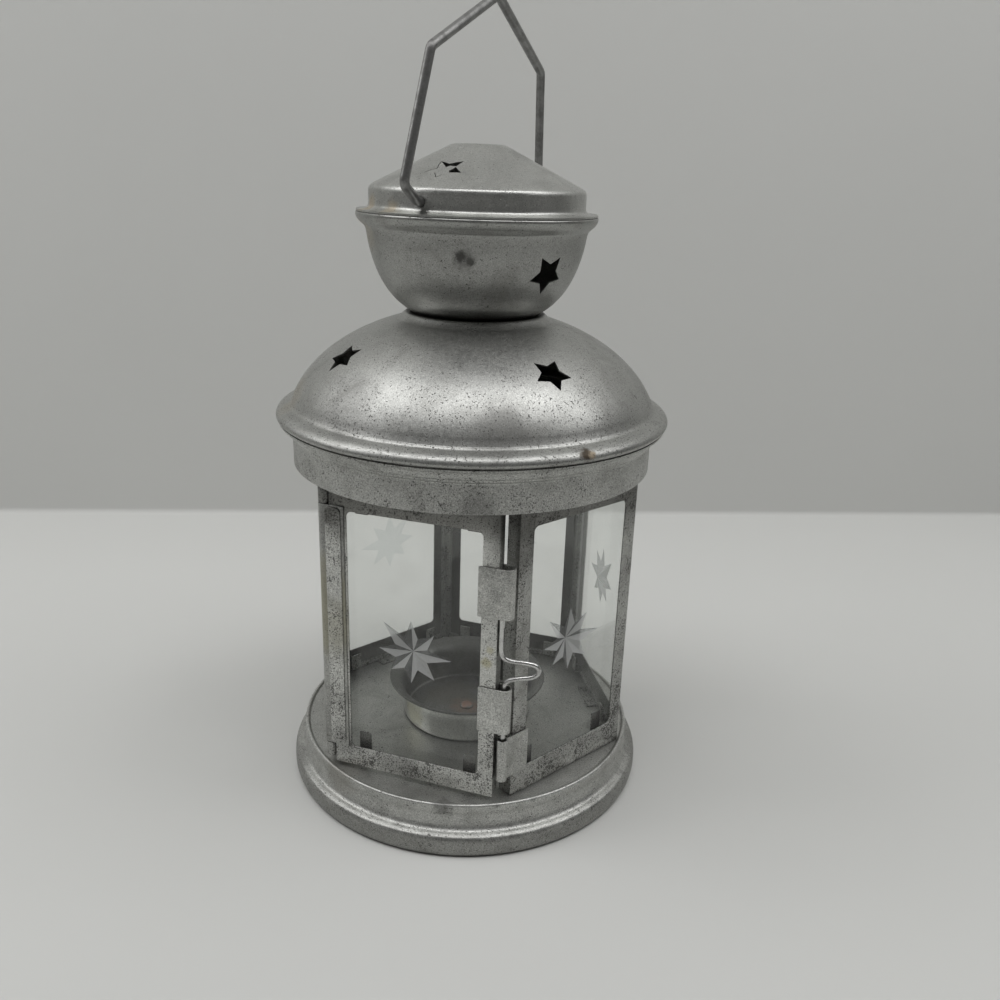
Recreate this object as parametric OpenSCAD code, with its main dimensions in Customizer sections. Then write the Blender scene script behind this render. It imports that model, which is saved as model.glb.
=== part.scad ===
// Punched tin lantern for a tealight.
// Millimetres, +Z up, the glazed door faces -Y, the base stands on Z = 0.
// Pieces are pressed, bent and rolled sheet, bent wire and flat panes.

/* [Body] */
// Radius of the hexagonal cage to its outer corners
cage_r = 51.4; // [46:0.2:62]
// Height of the clear glass in each window
window_h = 74; // [62:1:89]
// Width of the sheet left beside each window in the door and the rear panels
stile_w = 5.9; // [5:0.1:6.5]
// Thickness of the pressed sheet
sheet = 0.5; // [0.4:0.05:0.6]
// Thickness of the glass panes
pane_t = 2; // [1.6:0.1:2.4]

/* [Base] */
// Height of the tray floor above the table
floor_z = 14.6; // [12.2:0.1:17.6]
// Height of the raised rim over the tray floor
rim_h = 0.7; // [0.5:0.1:1]
// Step from the rim out to the bottom bead
bead_out = 3.5; // [3:0.1:4.2]

/* [Roof] */
// Height of the collar wall below its seam
collar_h = 8.7; // [7.3:0.1:10.4]
// Height of the dome from its rim to the neck
dome_h = 29.9; // [24:0.1:34]
// Radius of the neck between dome and bowl
neck_r = 20; // [16.8:0.1:22]
// Height of the bowl from neck to rim
bowl_h = 27.2; // [23:0.1:32]
// Radius of the cap wall
cap_r = 30.15; // [28:0.05:33]
// Height of the cone above the cap wall
cone_h = 11.1; // [9.3:0.1:13.3]

/* [Bail] */
// Diameter of the bail wire
bail_d = 2.5; // [2:0.1:3]
// Height of the bail peak above its pivot
bail_h = 51; // [42.6:0.2:61]
// Lean of the bail away from upright, at rest
bail_lean = 5.3; // [0:0.1:8]

/* [Door fittings] */
// Diameter of the hinge pin
pin_d = 2.5; // [2.1:0.1:2.6]
// Diameter of the latch rod
rod_d = 1.4; // [1.2:0.1:1.6]
// Reach of the thumb loop from the rod
loop_out = 10; // [8.5:0.5:12]

/* [Punched stars] */
// Tip radius of the stars in the dome
dome_star_r = 5.6; // [4.7:0.1:6.5]
// Tip radius of the stars in the bowl
bowl_star_r = 5.7; // [4.8:0.1:6.2]
// Tip radius of the stars in the cap
cap_star_r = 5.5; // [4.6:0.1:5.8]

/* [Candle cup] */
// Radius of the cup wall, outside
cup_r = 20.8; // [20.2:0.1:24]
// Height of the cup
cup_h = 13.4; // [11.2:0.1:16]

/* [Hidden] */
$fn = 96;

// Clearances
run_fit = 0.06;
glass_gap = 0.1;
glass_seat = 0.02;

// Colours
zinc = [0.62, 0.62, 0.60];
bright = [0.75, 0.75, 0.74];
dark_wire = [0.33, 0.33, 0.33];
clear_glass = [0.85, 0.90, 0.90, 0.35];

// Hexagonal cage
apothem = cage_r * cos(30);
half_side = cage_r / 2;
win_low = floor_z + 8.1;
win_high = win_low + window_h;
win_corner = 1.6;
rear_half = half_side - stile_w;
side_in = half_side - 10.5;
side_out = half_side - 4.7;
side_mid = (side_out - side_in) / 2;
side_half = (side_out + side_in) / 2;
free_edge = half_side - 5.4;
return_d = 4.9;
foot_w = 12;
foot_d = 3.6;
tab_w = 3.8;
tab_inset = 3.4;
tab_low_end = win_low + 3.8;
tab_high_end = win_high - 1.3;
tab_hidden = 1;
pane_half = (apothem - sheet - pane_t) * tan(30) - 1.2;

// Door
door_low = floor_z + 1.7;
door_top = win_high + 5.9;
door_left = half_side - 0.8;
door_right = half_side - 1.3;
door_return = 4.1;
pane_low = door_low + sheet;
pane_high = door_top - sheet;

// Levels of collar, seam and roof
edge_gap = 0.4;
collar_low = door_top + edge_gap;
collar_in = cage_r + 1.1;
collar_out = collar_in + sheet;
seam_low = collar_low + collar_h;
flange_top = seam_low + 4.1;
flange_r = collar_out + 3.7;
ring_top = flange_top + sheet;
ring_hole_r = apothem - 7;
rim_r = flange_r + 0.8;
neck_z = ring_top + dome_h;
bowl_rim_z = neck_z + bowl_h;
bowl_rim_r = cap_r + 3.65;
wall_low = bowl_rim_z + 2;
shoulder_z = bowl_rim_z + 6.9;
cap_top = shoulder_z + cone_h;
cap_flat_r = 7.9;

// Hinge: long leaf on the door, short knuckles on the left panel
roll_in = pin_d / 2 + run_fit;
hinge_s = door_left + roll_in + sheet + 0.07;
hinge_h = apothem - roll_in + 0.05;
hinge_xy = on_face(0, -hinge_s, hinge_h);
lap_w = 6.4;
strip_gap = 0.3;
leaf_low = win_low;
leaf_high = win_high + 1.3;
knuckle_h = 4.3;
knuckle_fit = 0.03;
pin_low = leaf_low - strip_gap - knuckle_h - 0.8;

// Latch: two straps on the door, a rolled catch on the right panel, a bent rod
strap_r = 2.1;
strap_reach = half_side + 2.9;
strap_lap = 5.6;
clip_low_z = win_low + 0.204 * window_h;
clip_low_h = 0.185 * window_h;
clip_high_z = win_low + 0.677 * window_h;
clip_high_h = 0.196 * window_h;
latch_xy = on_face(0, half_side + 0.8, apothem - 1.5);
catch_low = win_low - 0.7;
catch_h = 0.178 * window_h;
catch_bore = rod_d / 2 + 0.4;
rod_tip_z = catch_low + catch_h + 0.35;
rod_top_z = clip_high_z + clip_high_h - 2;
rod_jog = 1.3;
loop_r = 2.6;
loop_bend = 1.8;
loop_z = clip_low_z + clip_low_h + loop_r + loop_bend + 0.9;
loop_az = 110;

// Bail
pivot_z = wall_low + 1.4;
bail_az = -8.4;
bail_fit = 0.08;
bail_foot = 3.4;
bail_inside = 2.9;
bail_bend = 1.8;
bend_steps = 4;
wire_sides = 20;

// Stars
star_waist = 0.53;
star_turn = 36;
dome_star_az = -40.3;
bowl_star_az = 60.7;
bowl_star_lean = -27;
cap_star_az = -4.9;

// Dome curve
dome_a = rim_r - 2.88;
dome_mid_z = ring_top - 3.79;
dome_top_r = neck_r + 2;
dome_low_r = rim_r - 5.25;
dome_b = (neck_z - 1.8 - dome_mid_z) / sqrt(1 - pow(dome_top_r / dome_a, 2));
dome_star_r0 = rim_r - 16.8;
dome_steps = 18;
neck_hole_r = neck_r - 2.4;
neck_fit = 0.1;

// Bowl curve
bowl_top_r = cap_r + 0.71;
bowl_top_z = bowl_rim_z - 4.4;
bowl_low_r = neck_r - 1.14;
bowl_low_z = neck_z + 1;
bowl_mid_z = bowl_top_z + 12.95;
bowl_steps = 14;

// Candle cup
rivet_r = 1.3;
rivet_fit = 0.05;
rivet_head_r = 2.2;
cup_wall = 0.5;
lip_out = 4.7;

// Points and profiles
function on_face(az, s, h) = [s * cos(az) + h * sin(az), s * sin(az) - h * cos(az)];
function unit(v) = v / norm(v);
function side_dir(a, b) = let (d = unit(b - a)) [d[1], -d[0]];
function shift_pt(p, i, t) =
    let (last = len(p) - 1,
         n0 = side_dir(p[max(i - 1, 0)], p[max(i, 1)]),
         n1 = side_dir(p[min(i, last - 1)], p[min(i + 1, last)]))
    p[i] + t * (n0 + n1) / (1 + n0 * n1);
function back_of(p, t) = [for (i = [len(p) - 1 : -1 : 0]) shift_pt(p, i, t)];
function star(r, waist, n) =
    [for (i = [0 : 2 * n - 1])
        let (q = i % 2 == 0 ? r : r * waist, a = 90 + i * 180 / n) [q * cos(a), q * sin(a)]];
function dome_z(r) = dome_mid_z + dome_b * sqrt(1 - pow(r / dome_a, 2));
function dome_tilt(r) = atan((dome_z(r) - dome_mid_z) * dome_a * dome_a / (dome_b * dome_b * r));
function bowl_s(z) = pow((bowl_mid_z - z), 2);
bowl_k = (1 - pow(bowl_low_r / bowl_top_r, 2))
    / (bowl_s(bowl_low_z) - bowl_s(bowl_top_z) * pow(bowl_low_r / bowl_top_r, 2));
bowl_a = bowl_top_r / sqrt(1 - bowl_k * bowl_s(bowl_top_z));
function bowl_r(z) = bowl_a * sqrt(1 - bowl_k * bowl_s(z));

// Sheet pressed to a round profile, drawn from its outer or upper face
module pressed(p, t) {
    rotate_extrude() polygon(concat(p, back_of(p, t)));
}

// Moves to a face of the cage, where -Y points out and +X runs along the face
module face(az) {
    rotate([0, 0, az]) children();
}

// Star-shaped punch on a round wall, one tip down
module punch(az, r, z, tilt, size) {
    rotate([0, 0, az]) translate([0, -r, z]) rotate([90 - tilt, 0, 0]) rotate([0, 0, star_turn])
        linear_extrude(height = 7, center = true)
            polygon(star(size, star_waist, 5));
}

// Window with round corners through a face, between two places along it
module window_hole(s0, s1) {
    w = s1 - s0;
    c = win_corner;
    translate([s0, -apothem + 1, win_low]) rotate([90, 0, 0]) linear_extrude(height = 2) {
        translate([c, 0]) square([w - 2 * c, window_h]);
        translate([0, c]) square([w, window_h - 2 * c]);
        for (x = [c, w - c], y = [c, window_h - c]) translate([x, y]) circle(r = c);
    }
}

// Box between two places along a face, two distances from the axis and two heights
module slab(s0, s1, h0, h1, z0, z1) {
    translate([s0, -h1, z0]) cube([s1 - s0, h1 - h0, z1 - z0]);
}

// Tabs folded behind a pane at its two lower and two upper corners
module glass_tabs(mid, half, low, low_end, high_end) {
    back = apothem - sheet - pane_t - 2 * glass_seat;
    root = apothem - sheet / 2;
    for (k = [-1, 1]) {
        s = mid + k * (half - tab_inset) - tab_w / 2;
        slab(s, s + tab_w, back - sheet, root, low, low + sheet);
        slab(s, s + tab_w, back - sheet, back, low, low_end);
        slab(s, s + tab_w, back - sheet, root, pane_high, pane_high + sheet);
        slab(s, s + tab_w, back - sheet, back, high_end, pane_high + sheet);
    }
}

// Strip lapped on a face and rolled round an upright wire
module rolled_strip(s_lap, s_axis, h_axis, bore, z, height) {
    dir = s_axis > s_lap ? 1 : -1;
    off = apothem + sheet / 2 - h_axis;
    end = s_axis - dir * sqrt(pow(bore + sheet / 2, 2) - off * off);
    slab(min(s_lap, end), max(s_lap, end), apothem, apothem + sheet, z, z + height);
    translate([s_axis, -h_axis, z]) difference() {
        cylinder(r = bore + sheet, h = height);
        translate([0, 0, -1]) cylinder(r = bore, h = height + 2);
    }
}

// Strap lapped on the door's right stile and bent round to the return flange
module strap(lap, z, height) {
    mid_s = strap_reach - strap_r;
    mid_h = apothem + sheet - strap_r;
    translate([mid_s, -mid_h, z]) linear_extrude(height = height) {
        difference() {
            circle(r = strap_r);
            circle(r = strap_r - sheet);
            translate([-strap_r - 1, -strap_r - 1]) square([strap_r + 1, 2 * strap_r + 2]);
        }
        translate([door_right - lap - mid_s, -strap_r]) square([mid_s + lap - door_right, sheet]);
        translate([door_right - mid_s, strap_r - sheet]) square([mid_s - door_right, sheet]);
    }
}

// Corners of a bent wire: signed turn at a corner and straight run after it
function turn_at(p, i) =
    let (a = unit(p[i] - p[i - 1]), b = unit(p[i + 1] - p[i]))
    atan2(a[0] * b[1] - a[1] * b[0], a * b);
function corner_len(p, i, bend) =
    i == 0 || i == len(p) - 1 ? 0 : bend * tan(abs(turn_at(p, i)) / 2);
function run_len(p, i, bend) =
    norm(p[i + 1] - p[i]) - corner_len(p, i, bend) - corner_len(p, i + 1, bend);

// Straight runs and round bends, each placed from the end of the one before
module wire_run(p, d, bend, i = 0, side = 1) {
    run = run_len(p, i, bend);
    rotate([0, 90, 0]) cylinder(d = d, h = run);
    if (i < len(p) - 2) {
        turn = turn_at(p, i + 1) * side;
        flip = turn < 0 ? -1 : 1;
        translate([run, 0, 0]) scale([1, flip, 1]) translate([0, bend, 0]) {
            rotate([0, 0, -90]) rotate_extrude(angle = abs(turn)) translate([bend, 0])
                circle(d = d);
            rotate([0, 0, abs(turn)]) translate([0, -bend, 0])
                wire_run(p, d, bend, i + 1, side * flip);
        }
    }
}

// Wire bent in the XZ plane through the given corners
module bent_wire(p, d, bend) {
    first = p[1] - p[0];
    rotate([90, 0, 0]) translate([p[0][0], p[0][1], 0])
        rotate([0, 0, atan2(first[1], first[0])]) wire_run(p, d, bend);
}

module base_tray() {
    tray_r = cage_r + 1.45;
    rim_in = cage_r + 0.05;
    rim_top = floor_z + rim_h;
    bead_r = tray_r + bead_out;
    wall_z = floor_z - 0.5;
    top = [[rivet_r + rivet_fit, floor_z], [rim_in, floor_z], [rim_in + 0.2, rim_top - 0.2],
           [rim_in + 0.5, rim_top], [rim_in + 0.95, rim_top - 0.05],
           [tray_r - 0.1, rim_top - 0.4]];
    wall = [[tray_r, wall_z], [tray_r - 0.35, wall_z * 0.85], [tray_r - 0.15, wall_z * 0.68],
            [tray_r + 0.25, wall_z * 0.57], [tray_r + 0.95, wall_z * 0.51],
            [bead_r - 1.2, wall_z * 0.49], [bead_r - 0.4, wall_z * 0.43],
            [bead_r, wall_z * 0.32], [bead_r, wall_z * 0.14], [bead_r - 0.4, 0.5],
            [bead_r - 1.1, 0], [bead_r - 1.9, 0]];
    under = [[tray_r - sheet, floor_z - sheet], [rivet_r + rivet_fit, floor_z - sheet]];
    color(zinc) rotate_extrude()
        polygon(concat(top, wall, [for (i = [len(wall) - 1 : -1 : 1]) shift_pt(wall, i, sheet)],
                       under));
}

module cage_frame() {
    inner = apothem - sheet;
    corners = [90, 150, 210, 270];
    outer_pts = [for (a = corners) cage_r * [sin(a), -cos(a)]];
    inner_pts = [for (i = [3 : -1 : 0]) inner / cos(30) * [sin(corners[i]), -cos(corners[i])]];
    section = concat([on_face(60, -free_edge, apothem)], outer_pts,
                     [on_face(-60, free_edge, apothem),
                      on_face(-60, free_edge, apothem - return_d),
                      on_face(-60, free_edge - sheet, apothem - return_d),
                      on_face(-60, free_edge - sheet, inner)],
                     inner_pts,
                     [on_face(60, sheet - free_edge, inner),
                      on_face(60, sheet - free_edge, apothem - return_d),
                      on_face(60, -free_edge, apothem - return_d)]);
    color(zinc) union() {
        difference() {
            translate([0, 0, floor_z]) linear_extrude(height = flange_top - floor_z)
                polygon(section);
            for (az = [120, 180, 240]) face(az) window_hole(-rear_half, rear_half);
            face(60) window_hole(-side_in, side_out);
            face(-60) window_hole(-side_out, side_in);
        }
        for (az = [120, 180, 240]) face(az) {
            glass_tabs(0, rear_half, door_low, win_low - tab_hidden, win_high + tab_hidden);
            feet(0);
        }
        for (k = [-1, 1]) face(60 * k) {
            glass_tabs(k * side_mid, side_half, door_low, tab_low_end, tab_high_end);
            feet(k * side_mid);
        }
    }
}

// Flanges of a panel that lie on the tray floor and under the top ring
module feet(mid) {
    tip = apothem - sheet - foot_d;
    root = apothem - sheet / 2;
    slab(mid - foot_w / 2, mid + foot_w / 2, tip, root, floor_z, floor_z + sheet);
    slab(mid - foot_w / 2, mid + foot_w / 2, tip, root, flange_top - sheet, flange_top);
}

module top_ring() {
    color(zinc) translate([0, 0, flange_top]) difference() {
        cylinder(r = flange_r - 0.3, h = sheet);
        translate([0, 0, -1]) cylinder(r = ring_hole_r, h = sheet + 2);
    }
}

module collar_ring() {
    low = flange_top - sheet;
    profile = [[flange_r, low], [flange_r - 0.7, low], [flange_r - 1.5, low - 0.9],
               [flange_r - 2.1, low - 1.9], [flange_r - 2.4, low - 2.4],
               [collar_out + 0.85, seam_low + 0.6], [collar_out + 0.8, seam_low + 0.1],
               [collar_out, seam_low - 0.3], [collar_out, collar_low]];
    color(zinc) pressed(profile, sheet);
}

module dome() {
    first = acos(dome_top_r / dome_a);
    last = acos(dome_low_r / dome_a);
    curve = [for (i = [0 : dome_steps])
        let (a = first + (last - first) * i / dome_steps)
        [dome_a * cos(a), dome_mid_z + dome_b * sin(a)]];
    profile = concat([[neck_hole_r, neck_z], [neck_r, neck_z], [neck_r + 1, neck_z - 0.85]],
                     curve,
                     [[rim_r - 5, ring_top + 4.6], [rim_r - 3.9, ring_top + 3.8],
                      [rim_r - 2.4, ring_top + 3.2], [rim_r - 0.8, ring_top + 2.2],
                      [rim_r, ring_top + 1], [rim_r - 0.15, ring_top + 0.35],
                      [rim_r - 0.6, ring_top], [rim_r - 2.1, ring_top]]);
    color(zinc) difference() {
        pressed(profile, sheet);
        for (k = [0 : 3])
            punch(dome_star_az + 90 * k, dome_star_r0, dome_z(dome_star_r0),
                  dome_tilt(dome_star_r0), dome_star_r);
    }
}

module vent_bowl() {
    tube_r = neck_hole_r - neck_fit;
    curve = [for (i = [0 : bowl_steps])
        let (z = bowl_top_z + (bowl_low_z - bowl_top_z) * i / bowl_steps) [bowl_r(z), z]];
    profile = concat([[bowl_rim_r - 1.4, bowl_rim_z], [bowl_rim_r - 0.3, bowl_rim_z],
                      [bowl_rim_r, bowl_rim_z - 0.5], [bowl_rim_r - 0.25, bowl_rim_z - 1.5],
                      [bowl_rim_r - 1.1, bowl_rim_z - 2.7], [bowl_rim_r - 2.4, bowl_rim_z - 3.6]],
                     curve,
                     [[bowl_low_r - 0.3, neck_z], [tube_r, neck_z], [tube_r, neck_z - sheet],
                      [neck_r - 1, neck_z - sheet]]);
    star_z = bowl_rim_z - 13.6;
    color(zinc) difference() {
        pressed(profile, sheet);
        for (k = [0, 1])
            punch(bowl_star_az + 180 * k, bowl_r(star_z), star_z, bowl_star_lean,
                  bowl_star_r);
    }
}

module vent_cap() {
    slope = (cone_h - 0.2) / (cap_r - 0.55 - cap_flat_r);
    profile = [[0, cap_top], [cap_flat_r - 0.8, cap_top], [cap_flat_r, cap_top - 0.2],
               [cap_r - 0.9, shoulder_z + 0.3], [cap_r - 0.25, shoulder_z - 0.1],
               [cap_r, shoulder_z - 0.7], [cap_r, wall_low], [cap_r + 0.2, wall_low - 0.7],
               [cap_r + 0.9, wall_low - 1.2], [cap_r + 2, bowl_rim_z + sheet],
               [cap_r + 3.5, bowl_rim_z + sheet]];
    star_r = 20.3;
    star_z = cap_top - (star_r - cap_flat_r) * slope;
    color(zinc) difference() {
        pressed(profile, sheet);
        for (k = [0, 1])
            punch(cap_star_az + 180 * k, star_r, star_z, 90 - atan(slope), cap_star_r);
        translate([0, 0, pivot_z]) rotate([0, 0, bail_az]) rotate([90, 0, 0])
            cylinder(d = bail_d + 2 * bail_fit, h = 80, center = true);
    }
}

// Rings of points round the corners of a bent wire: each is a place and a heading
function arc_ring(p, i, bend, q) =
    let (a = unit(p[i] - p[i - 1]), turn = turn_at(p, i), k = turn < 0 ? -1 : 1,
         c = p[i] - corner_len(p, i, bend) * a + bend * k * [-a[1], a[0]],
         head = atan2(a[1], a[0]) + q * turn)
    [c - bend * k * [-sin(head), cos(head)], head];
function end_ring(p, i, j) = let (a = p[j] - p[i]) [p[i], atan2(a[1], a[0])];

// One closed skin swept along the corners, for bends that are not square
module swept_wire(p, d, bend) {
    last = len(p) - 1;
    tail = end_ring(p, last - 1, last);
    rings = concat([end_ring(p, 0, 1)],
                   [for (i = [1 : last - 1], q = [0 : bend_steps]) arc_ring(p, i, bend, q / bend_steps)],
                   [[p[last], tail[1]]]);
    m = wire_sides;
    pts = [for (g = rings, k = [0 : m - 1])
        let (f = 360 * k / m, w = d / 2 * cos(f))
        [g[0][0] - w * sin(g[1]), d / 2 * sin(f), g[0][1] + w * cos(g[1])]];
    sides = [for (i = [0 : len(rings) - 2], k = [0 : m - 1])
        [i * m + k, i * m + (k + 1) % m, (i + 1) * m + (k + 1) % m, (i + 1) * m + k]];
    ends = [[for (k = [m - 1 : -1 : 0]) k], [for (k = [0 : m - 1]) (len(rings) - 1) * m + k]];
    polyhedron(pts, concat(sides, ends));
}

module bail_handle() {
    foot = cap_r - bail_inside;
    half = [[foot, bail_foot], [foot, 0], [cap_r + 1.6, 0], [cap_r + 8.4, 4.3],
            [cap_r + 0.8, 0.696 * bail_h]];
    color(dark_wire) translate([0, 0, pivot_z]) rotate([0, 0, bail_az - 90])
        rotate([-bail_lean, 0, 0])
            swept_wire(concat(half, [[0, bail_h]],
                              [for (i = [len(half) - 1 : -1 : 0]) [-half[i][0], half[i][1]]]),
                       bail_d, bail_bend);
}

module door_frame() {
    inner = apothem - sheet;
    color(zinc) union() {
        difference() {
            slab(-door_left, door_right, apothem - door_return, apothem, door_low, door_top);
            slab(sheet - door_left, door_right - sheet, apothem - door_return - 1, inner,
                 door_low - 1, door_top + 1);
            window_hole(-rear_half, rear_half);
        }
        glass_tabs(0, rear_half, door_low, tab_low_end, tab_high_end);
    }
}

module hinge_leaf() {
    color(zinc) rolled_strip(lap_w - hinge_s, -hinge_s, hinge_h, roll_in, leaf_low,
                             leaf_high - leaf_low);
}

// Short strip on the left panel that holds the hinge pin
module knuckle(z) {
    s = hinge_xy * on_face(-60, 1, 0);
    h = hinge_xy * on_face(-60, 0, 1);
    color(zinc) face(-60)
        rolled_strip(side_in + 0.4, s, h, pin_d / 2 + knuckle_fit, z, knuckle_h);
}

module knuckle_upper() {
    knuckle(leaf_high + strip_gap);
}

module knuckle_lower() {
    knuckle(leaf_low - strip_gap - knuckle_h);
}

module hinge_pin() {
    head_z = leaf_high + strip_gap + knuckle_h;
    color(bright) translate([hinge_xy[0], hinge_xy[1], 0]) {
        translate([0, 0, pin_low]) cylinder(d = pin_d, h = head_z - pin_low);
        translate([0, 0, head_z]) cylinder(d = pin_d + 0.8, h = 0.3);
    }
}

module clip_upper() {
    color(zinc) strap(strap_lap, clip_high_z, clip_high_h);
}

module clip_lower() {
    color(zinc) strap(strap_lap - 0.7, clip_low_z, clip_low_h);
}

module latch_catch() {
    s = latch_xy * on_face(60, 1, 0);
    h = latch_xy * on_face(60, 0, 1);
    color(zinc) face(60) rolled_strip(0.6 - side_in, s, h, catch_bore, catch_low, catch_h);
}

module latch_rod() {
    tip = loop_out - rod_d / 2;
    path = [[0, rod_tip_z], [0, loop_z - loop_r], [tip, loop_z - loop_r],
            [tip, loop_z + loop_r], [-rod_jog, loop_z + loop_r], [-rod_jog, rod_top_z]];
    color(bright) translate([latch_xy[0], latch_xy[1], 0]) rotate([0, 0, loop_az - 90])
        bent_wire(path, rod_d, loop_bend);
}

module candle_cup() {
    top = floor_z + cup_h;
    profile = [[cup_r + lip_out, top - 0.5], [cup_r + 2.8, top - 1.4], [cup_r + 1.4, top - 2.4],
               [cup_r + 0.5, top - 3.7], [cup_r + 0.2, top - 5.5], [cup_r, floor_z + 1.4],
               [cup_r - 0.5, floor_z + 0.3], [cup_r - 1.2, floor_z],
               [rivet_r + rivet_fit, floor_z]];
    color(zinc) pressed(profile, cup_wall);
}

module cup_rivet() {
    seat = floor_z + cup_wall;
    tail_r = rivet_head_r - 0.4;
    color(bright) {
        translate([0, 0, seat]) cylinder(r = rivet_head_r, h = 0.4);
        translate([0, 0, seat + 0.4]) cylinder(r1 = rivet_head_r, r2 = 1.1, h = 0.7);
        translate([0, 0, floor_z - sheet]) cylinder(r = rivet_r, h = sheet + cup_wall);
        translate([0, 0, floor_z - sheet - 0.5]) cylinder(r1 = tail_r - 0.4, r2 = tail_r, h = 0.5);
    }
}

// Glass pane behind a face, between two places along it
module pane(az, s0, s1, z0) {
    front = apothem - sheet - glass_seat;
    color(clear_glass) face(az) slab(s0, s1, front - pane_t, front, z0, pane_high);
}

module door_glass() {
    pane(0, sheet + glass_gap - door_left, door_right - sheet - glass_gap, pane_low);
}

module right_glass() {
    pane(60, sheet + glass_gap - free_edge, pane_half, pane_low);
}

module right_rear_glass() {
    pane(120, -pane_half, pane_half, pane_low);
}

module rear_glass() {
    pane(180, -pane_half, pane_half, pane_low);
}

module left_rear_glass() {
    pane(240, -pane_half, pane_half, pane_low);
}

module left_glass() {
    pane(-60, -pane_half, free_edge - sheet - glass_gap, pane_low);
}

base_tray();
cage_frame();
top_ring();
collar_ring();
dome();
vent_bowl();
vent_cap();
bail_handle();
door_frame();
hinge_leaf();
knuckle_upper();
knuckle_lower();
hinge_pin();
clip_upper();
clip_lower();
latch_catch();
latch_rod();
candle_cup();
cup_rivet();
door_glass();
right_glass();
right_rear_glass();
rear_glass();
left_rear_glass();
left_glass();
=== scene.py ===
from math import cos, pi, radians, sin, sqrt, tan

import bmesh
import bpy
from mathutils import Matrix, Vector


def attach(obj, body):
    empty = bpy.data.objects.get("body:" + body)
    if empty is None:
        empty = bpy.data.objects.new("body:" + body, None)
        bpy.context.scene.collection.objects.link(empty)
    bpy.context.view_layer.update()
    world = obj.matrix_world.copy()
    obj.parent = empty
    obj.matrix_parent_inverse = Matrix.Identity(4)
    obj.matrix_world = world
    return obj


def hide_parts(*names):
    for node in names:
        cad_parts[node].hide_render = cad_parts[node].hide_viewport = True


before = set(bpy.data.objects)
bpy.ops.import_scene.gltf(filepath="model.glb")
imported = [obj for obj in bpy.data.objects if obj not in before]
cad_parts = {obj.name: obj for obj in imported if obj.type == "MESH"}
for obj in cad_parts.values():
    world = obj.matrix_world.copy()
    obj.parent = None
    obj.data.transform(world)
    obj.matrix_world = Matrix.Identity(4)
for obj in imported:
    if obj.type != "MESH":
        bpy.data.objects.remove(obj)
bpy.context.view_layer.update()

# The camera. It stands in front of the lantern, to the right of the door, and looks down on
# the roof, held a little out of level, as the photographer held it.
camera = bpy.data.objects.new("camera", bpy.data.cameras.new("camera"))
bpy.context.scene.collection.objects.link(camera)
bpy.context.scene.camera = camera
camera.data.sensor_width = 36
camera.data.lens = 33.79
camera.data.clip_start = 0.01
camera_at = (0.09373, -0.25751, 0.18539)
camera_heading, camera_tilt, camera_roll = 18.13, 70.54, 1.88
camera.matrix_world = (
    Matrix.Translation(camera_at)
    @ Matrix.Rotation(radians(camera_heading), 4, "Z")
    @ Matrix.Rotation(radians(camera_tilt), 4, "X")
    @ Matrix.Rotation(radians(camera_roll), 4, "Z")
)

# Base tray. A round tray pressed from one piece of zinc-coated sheet, with a raised rim round
# its floor, and its lower edge swollen into the bead that the lantern stands on.
mm = 0.001


class Tone:
    """A value in a finish that arithmetic can be written on."""

    def __init__(self, finish, socket):
        self.finish = finish
        self.socket = socket

    def _with(self, operation, first, second):
        return self.finish.node("ShaderNodeMath", {"operation": operation}, {0: first, 1: second})

    def __add__(self, other):
        return self._with("ADD", self, other)

    def __radd__(self, other):
        return self._with("ADD", other, self)

    def __sub__(self, other):
        return self._with("SUBTRACT", self, other)

    def __rsub__(self, other):
        return self._with("SUBTRACT", other, self)

    def __mul__(self, other):
        return self._with("MULTIPLY", self, other)

    def __rmul__(self, other):
        return self._with("MULTIPLY", other, self)

    def __pow__(self, other):
        return self._with("POWER", self, other)


class Finish:
    """The procedural finish of one kind of surface, in millimetres of the lantern itself."""

    def __init__(self, name):
        self.material = bpy.data.materials.new(name)
        self.material.use_nodes = True
        self.tree = self.material.node_tree
        self.tree.nodes.clear()
        place = self.node("ShaderNodeTexCoord", {}, {}, "Object")
        self.place = self.node("ShaderNodeMapping", {}, {"Vector": place, "Scale": (1000, 1000, 1000)})

    def node(self, kind, settings, values, give=0):
        made = self.tree.nodes.new(kind)
        for key, value in settings.items():
            setattr(made, key, value)
        for key, value in values.items():
            if isinstance(value, Tone):
                self.tree.links.new(value.socket, made.inputs[key])
            else:
                made.inputs[key].default_value = value
        return Tone(self, made.outputs[give]) if made.outputs else made

    def noise(self, size, detail=2.0, rough=0.5, twist=0.0):
        values = {"Vector": self.place, "Scale": 1 / size, "Detail": detail,
                  "Roughness": rough, "Distortion": twist}
        return self.node("ShaderNodeTexNoise", {}, values)

    def step(self, value, low, high):
        values = {"Value": value, "From Min": low, "From Max": high}
        return self.node("ShaderNodeMapRange", {"interpolation_type": "SMOOTHSTEP"}, values)

    def mix(self, share, first, second):
        return self.node("ShaderNodeMix", {"data_type": "RGBA"}, {0: share, 6: first, 7: second}, 2)

    def spot(self, centre, radius, ragged=0.5):
        away = self.node("ShaderNodeVectorMath", {"operation": "DISTANCE"},
                         {0: self.place, 1: centre}, "Value")
        edge = away + self.noise(radius * 0.45, 3.0, 0.6) * (radius * ragged * 2)
        return self.step(edge, radius * (1 + ragged), radius * (0.35 + ragged))

    def out(self, shader):
        self.node("ShaderNodeOutputMaterial", {}, {"Surface": shader})
        return self.material


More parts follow.
